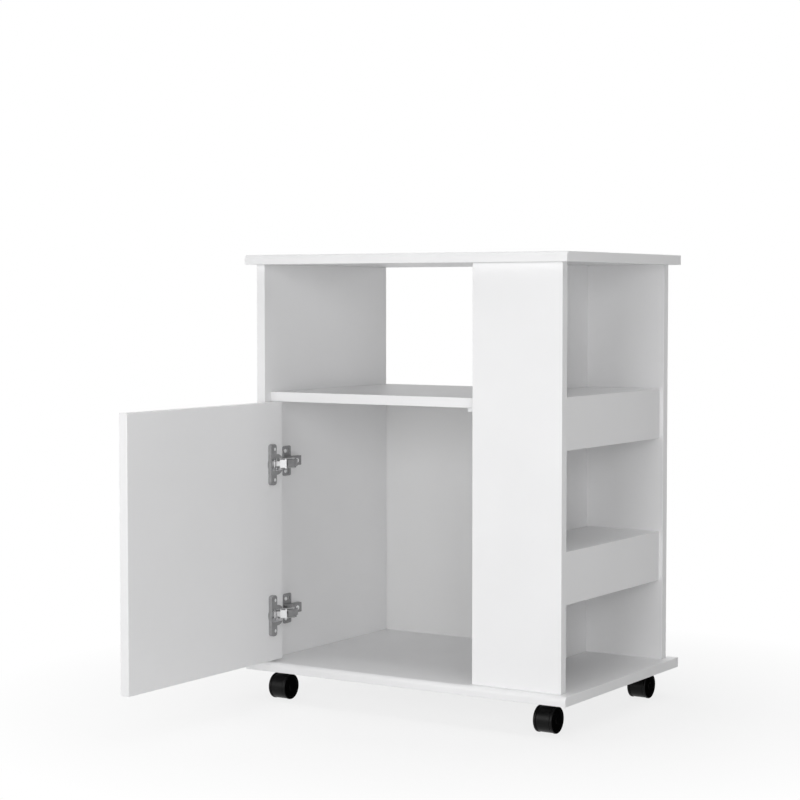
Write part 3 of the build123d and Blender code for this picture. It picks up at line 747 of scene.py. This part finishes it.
def headed(name, like, recess=None):
    """A round headed fastener that faces up, its top at the origin."""
    neck = like.height - like.length
    tip = TIP_LENGTH * like.shank
    shape = new_round(name, HEAD_SIDES, like.radius, like.height, (0, 0, -like.height / 2))
    with Editing(shape) as edit:
        edit.pick(facing(Z, -1))
        bpy.ops.mesh.inset(thickness=like.radius - like.shank)
        bpy.ops.mesh.extrude_region_move(TRANSFORM_OT_translate={"value": (0, 0, neck + tip)})
        bpy.ops.mesh.extrude_region_move(TRANSFORM_OT_translate={"value": (0, 0, -tip)})
        bpy.ops.transform.resize(value=(TIP_SHARE, TIP_SHARE, 1.0))
    with Editing(shape, "EDGE") as edit:
        edit.pick(lambda e: all(v.co.z > -SAME_PLANE for v in e.verts))
        rounding = HEAD_ROUNDING * like.height
        bpy.ops.mesh.bevel(offset=rounding, segments=HEAD_STEPS, affect="EDGES")
    if recess:
        cross(shape, *recess)
    smoothed(shape, HEAD_CREASE)
    return shape


def cross(shape, span, slot, depth):
    """Cuts a cross recess with sloping ends into the top of a fastener."""
    for x, y in ((span, slot), (slot, span)):
        half = Vector((x / 2, y / 2, depth))
        tool = new_block("slot", -half, half)
        with Editing(tool) as edit:
            edit.pick(facing(Z, -1))
            bpy.ops.transform.resize(value=(RECESS_SHARE, RECESS_SHARE, 1.0))
        cut(shape, tool)


def repeated(name, shape, likes):
    """One piece of turned copies of a shape, a copy for each measured fastener."""
    copies = []
    for like in likes:
        copy = new_copy(shape.name + "_copy", shape.data)
        turn = UP.rotation_difference(like.way).to_matrix().to_4x4()
        copy.data.transform(Matrix.Translation(like.top) @ turn)
        copies.append(copy)
    bpy.data.objects.remove(shape)
    only(copies[0])
    for copy in copies:
        copy.select_set(True)
    if copies[1:]:
        bpy.ops.object.join()
    copies[0].name = copies[0].data.name = name
    return copies[0]


# Boards
def along_top_front(low, high):
    """A test for the edges along the top front of a block between two corners."""
    return lambda edge: all(
        v.co.y < low.y + SAME_PLANE and v.co.z > high.z - SAME_PLANE for v in edge.verts
    )


def board(node, rolled=0.0, bores=()):
    """A laminated board: bands on its edges, edges broken, and its front edge rolled if asked."""
    low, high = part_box(node)
    piece = new_block(node + "_board", low, high)
    materials = [finish(name) for name in ("Laminate", "Edge band", "Band seam")]
    for material in materials:
        piece.data.materials.append(material)
    for face in piece.data.polygons:
        if any(across(face, axis) for axis in BANDED[node]):
            face.material_index = BAND
    if rolled:
        with Editing(piece, "EDGE") as edit:
            edit.pick(along_top_front(low, high))
            bpy.ops.mesh.bevel(
                offset=rolled, segments=ROLL_STEPS, affect="EDGES", material=LAMINATE
            )
    # The broken edges get the seam finish, a painted highlight
    bevelled(piece, settings("boards").edge_radius, EDGE_STEPS, SEAM_HIGHLIGHT)
    for centre, radius, depth in bores:
        tool = new_round("bore", BORE_SIDES, radius, 2 * depth, centre,
                         rotation=(0, math.radians(90), 0))
        cut(piece, tool)
    smoothed(piece)
    dressed(piece, node, *materials)


class CABINET_OT_boards(bpy.types.Operator):
    """Model the carcass boards, the shelves and their fascias"""

    bl_idname = "cabinet.boards"
    bl_label = "Boards"

    def execute(self, context):
        for node in BANDED:
            if node != "door_panel":
                board(node, settings("boards").rolled_radius if node in ROLLED else 0.0)
        return {"FINISHED"}


class CABINET_OT_back(bpy.types.Operator):
    """Model the thin hardboard back of the lower compartment"""

    bl_idname = "cabinet.back"
    bl_label = "Back"

    def execute(self, context):
        piece = new_block("back_panel_sheet", *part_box("back_panel"))
        with Editing(piece) as edit:
            edit.pick(facing(Y))
            bpy.ops.mesh.inset(thickness=BACK_STEP, depth=-BACK_STEP_DEPTH)
        bevelled(piece, BACK_RADIUS)
        smoothed(piece)
        dressed(piece, "back_panel", finish("Painted face"))
        repainted(piece, "Screen face", lambda face: face.normal.y > MOSTLY)
        return {"FINISHED"}


def bowl_points(cup):
    """The corner points of a hinge's cup that lie inside the door."""
    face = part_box("door_panel")[1].x
    return [v.co for v in cup.data.vertices if v.co.x < face - UNDER_FLANGE]


class CABINET_OT_door(bpy.types.Operator):
    """Model the door with the bores of its two hinge cups"""

    bl_idname = "cabinet.door"
    bl_label = "Door"

    def execute(self, context):
        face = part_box("door_panel")[1].x
        bores = []
        for name in HINGES:
            node = f"hinge_{name}_cup"
            low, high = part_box(node)
            bowl_low, bowl_high = corners(bowl_points(NODES[node]))
            centre = (face, (bowl_low.y + bowl_high.y) / 2, (low.z + high.z) / 2)
            radius = (bowl_high.y - bowl_low.y) / 2 + BORE_PLAY
            bores.append((centre, radius, face - low.x + BORE_PLAY))
        board("door_panel", bores=bores)
        return {"FINISHED"}


# Hinges
def in_bowl(cup):
    """A test for the faces on the floor and the wall of a cup's bowl."""
    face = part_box("door_panel")[1].x
    bowl = bowl_points(cup)
    middle = sum(bowl, Vector()) / len(bowl)

    def test(polygon):
        centre = polygon.center
        inwards = polygon.normal.dot(Vector((0, middle.y - centre.y, middle.z - centre.z)))
        return centre.x < face and (polygon.normal.x > MOSTLY or inwards > BOWL_INWARDS)

    return test


def on_cover(link):
    """A test for the faces of an inner link's wide cover, which is taller than its arm."""
    points = [v.co for v in link.data.vertices]
    low, high = corners(points)
    middle = (low.z + high.z) / 2
    arm_half = settings("hinges").link_arm_half
    low, high = corners([p for p in points if abs(p.z - middle) > arm_half])

    def test(polygon):
        return all(
            low[a] - COVER_MARGIN < polygon.center[a] < high[a] + COVER_MARGIN for a in (X, Y)
        )

    return test


def on_slot_rim(plate):
    """A test for the rims of a mounting plate's two long slots."""
    points = [v.co for v in plate.data.vertices]
    low, high = corners(points)
    sheet = low.x + settings("hinges").plate_sheet
    rear = max(p.y for p in points if p.x < sheet)
    middle = (low.z + high.z) / 2
    reach = SLOT_REACH * (high.z - low.z)

    def test(polygon):
        centre = polygon.center
        return (
            rear - SLOT_FRONT < centre.y < rear - SLOT_REAR
            and low.z + SLOT_END < centre.z < high.z - SLOT_END
            and abs(centre.z - middle) > reach
            and abs(polygon.normal.x) < RIM_FACING
        )

    return test


# The second finish of a hinge's parts, and the test for the faces that have it. All three are
# painted light: zinc in the cups' bowls lifts their shade, and zinc on the plates' slot rims and
# the brighter nickel on the links' covers are painted highlights.
PAINTED_LIGHT_FACES = {
    # Painted light: the bowl is made brighter than the cup against its shade
    "cup": ("Zinc", in_bowl),
    # Painted highlight: the slot rims are made brighter than the plate
    "mounting_plate": ("Zinc", on_slot_rim),
    # Painted highlight: the cover is made brighter than the rest of its link
    "inner_link": ("Bright nickel", on_cover),
}


class CABINET_OT_hinges(bpy.types.Operator):
    """Round the edges of the stamped hinge pieces and plate their faces"""

    bl_idname = "cabinet.hinges"
    bl_label = "Hinges"

    def execute(self, context):
        for name in HINGES:
            for part in HINGE_PARTS:
                node = f"hinge_{name}_{part}"
                piece = softened(node, settings("hinges").stamped_radius)
                dressed(piece, node)
                if part in PAINTED_LIGHT_FACES:
                    second, faces_of = PAINTED_LIGHT_FACES[part]
                    repainted(piece, second, faces_of(piece))
        return {"FINISHED"}


# Casters
class CABINET_OT_casters(bpy.types.Operator):
    """Round the moulded edges of the wheels, the housings and their plates"""

    bl_idname = "cabinet.casters"
    bl_label = "Casters"

    def execute(self, context):
        for place in CASTERS:
            for part in CASTER_PARTS:
                node = f"caster_{place}_{part}"
                piece = softened(node, settings("casters").edge_radius)
                dressed(piece, node)
                if "wheel" in part:
                    repainted(piece, "Matte plastic", lambda face: across(face, X))
        return {"FINISHED"}


# Trim and fasteners
class CABINET_OT_trim(bpy.types.Operator):
    """Model the door stop and the domed screw caps"""

    bl_idname = "cabinet.trim"
    bl_label = "Trim"

    def execute(self, context):
        dressed(softened("door_stop", DOOR_STOP_RADIUS), "door_stop")
        middle = (CAD_BOX[0] + CAD_BOX[1]) / 2
        caps = turned_solids("screw_caps", min)
        for cap in caps:
            cap.turn_to(1 if cap.top[cap.axis] > middle[cap.axis] else -1)
        like = caps[0]
        dome = new_round("cap", HEAD_SIDES, like.radius, like.length, (0, 0, -like.length / 2))
        with Editing(dome) as edit:
            edit.pick(facing(Z))
            for inset, lift in DOME:
                bpy.ops.mesh.inset(thickness=inset * like.radius)
                bpy.ops.transform.translate(value=(0, 0, lift * settings("trim").cap_rise))
        smoothed(dome)
        dressed(repeated("screw_caps_domed", dome, caps), "screw_caps")
        return {"FINISHED"}


class CABINET_OT_fasteners(bpy.types.Operator):
    """Model the screws and nails that show, and plate the rest"""

    bl_idname = "cabinet.fasteners"
    bl_label = "Fasteners"

    def execute(self, context):
        looks = settings("hinges")
        recesses = {
            "hinge_plate_screws": looks.small_recess,
            "hinge_cup_screws": looks.small_recess,
            "caster_screws": looks.small_recess,
            "hinge_arm_screws": looks.arm_recess,
            "back_nails": None,
        }
        for node, recess in recesses.items():
            likes = turned_solids(node, max)
            piece = repeated(node + "_headed", headed("fastener", likes[0], recess), likes)
            dressed(piece, node)
        for node in NODES:
            if node.endswith(("_screws", "pins", "dowels", "axle")) and node not in recesses:
                NODES[node].data.materials.clear()
                NODES[node].data.materials.append(finish_of(node))
        return {"FINISHED"}


# Studio
def white_room(name):
    """A world that shows white and lights the cabinet evenly and faintly."""
    room_light = settings("studio").room_light
    world = bpy.data.worlds.new(name)
    world.use_nodes = True
    room = Nodes(world.node_tree)
    ground = room.tree.nodes["Background"]
    room.feed(ground.inputs["Color"], WHITE)
    room.feed(ground.inputs["Strength"], room.seen() * (1 - room_light) + room_light)
    return world


def lamp(name, turn, rise):
    """A large soft lamp that looks at the cabinet's middle."""
    studio = settings("studio")
    data = bpy.data.lights.new(name.title() + " lamp", "AREA")
    data.shape, data.size = "SQUARE", studio.lamp_width
    data.energy = getattr(studio, name + "_power")
    light = bpy.data.objects.new(data.name, data)
    bpy.context.scene.collection.objects.link(light)
    turn, rise = math.radians(turn), math.radians(rise)
    way = Vector(
        (math.sin(turn) * math.cos(rise), -math.cos(turn) * math.cos(rise), math.sin(rise))
    )
    light.location = way * studio.lamp_distance + UP * (CAD_BOX[0].z + CAD_BOX[1].z) / 2
    light.rotation_euler = way.to_track_quat("Z", "Y").to_euler()


class CABINET_OT_stage(bpy.types.Operator):
    """Set the floor, the white room, the soft lamps and the camera"""

    bl_idname = "cabinet.stage"
    bl_label = "Stage"

    def execute(self, context):
        scene = context.scene
        scene.view_settings.view_transform = "Standard"
        floor = new_piece("floor", bpy.ops.mesh.primitive_plane_add, size=FLOOR_SIZE)
        floor.data.materials.append(finish("Pale floor"))
        scene.world = white_room("White room")
        for name, (turn, rise) in LAMPS.items():
            lamp(name, turn, rise)
        data = bpy.data.cameras.new("Camera")
        data.lens, data.sensor_width = settings("studio").lens, SENSOR
        camera = bpy.data.objects.new("Camera", data)
        scene.collection.objects.link(camera)
        turn = Matrix.Rotation(math.radians(CAMERA_TURN), 4, "Z")
        tilt = Matrix.Rotation(math.radians(CAMERA_TILT), 4, "X")
        camera.matrix_world = Matrix.Translation(CAMERA_PLACE) @ (turn @ tilt)
        scene.camera = camera
        return {"FINISHED"}


class CABINET_PT_panel(bpy.types.Panel):
    """The cabinet's pieces and their settings"""

    bl_idname = "CABINET_PT_panel"
    bl_label = "Microwave cabinet"
    bl_space_type = "VIEW_3D"
    bl_region_type = "UI"
    bl_category = "Cabinet"

    def draw(self, context):
        for group, operators in GROUPS.values():
            box = self.layout.box()
            looks = getattr(context.scene, group)
            for name in looks.bl_rna.properties.keys():
                if name not in ("rna_type", "name"):
                    box.prop(looks, name)
            for operator in operators:
                box.operator(operator.bl_idname)


# Each group of settings: its name on the scene, and the operators that read it
GROUPS = {
    BoardLooks: ("cabinet_boards", (CABINET_OT_boards, CABINET_OT_back, CABINET_OT_door)),
    HingeLooks: ("cabinet_hinges", (CABINET_OT_hinges,)),
    CasterLooks: ("cabinet_casters", (CABINET_OT_casters,)),
    TrimLooks: ("cabinet_trim", (CABINET_OT_trim, CABINET_OT_fasteners)),
    Studio: ("cabinet_studio", (CABINET_OT_stage,)),
}
OPERATORS = [operator for _, operators in GROUPS.values() for operator in operators]


def register():
    for item in (*GROUPS, *OPERATORS, CABINET_PT_panel):
        bpy.utils.register_class(item)
    for item, (name, _) in GROUPS.items():
        setattr(bpy.types.Scene, name, PointerProperty(type=item))


def unregister():
    for name, _ in GROUPS.values():
        delattr(bpy.types.Scene, name)
    for item in reversed((*GROUPS, *OPERATORS, CABINET_PT_panel)):
        bpy.utils.unregister_class(item)


def main():
    register()
    for operator in OPERATORS:
        group, name = operator.bl_idname.split(".")
        getattr(getattr(bpy.ops, group), name)()


if __name__ == "__main__":
    main()
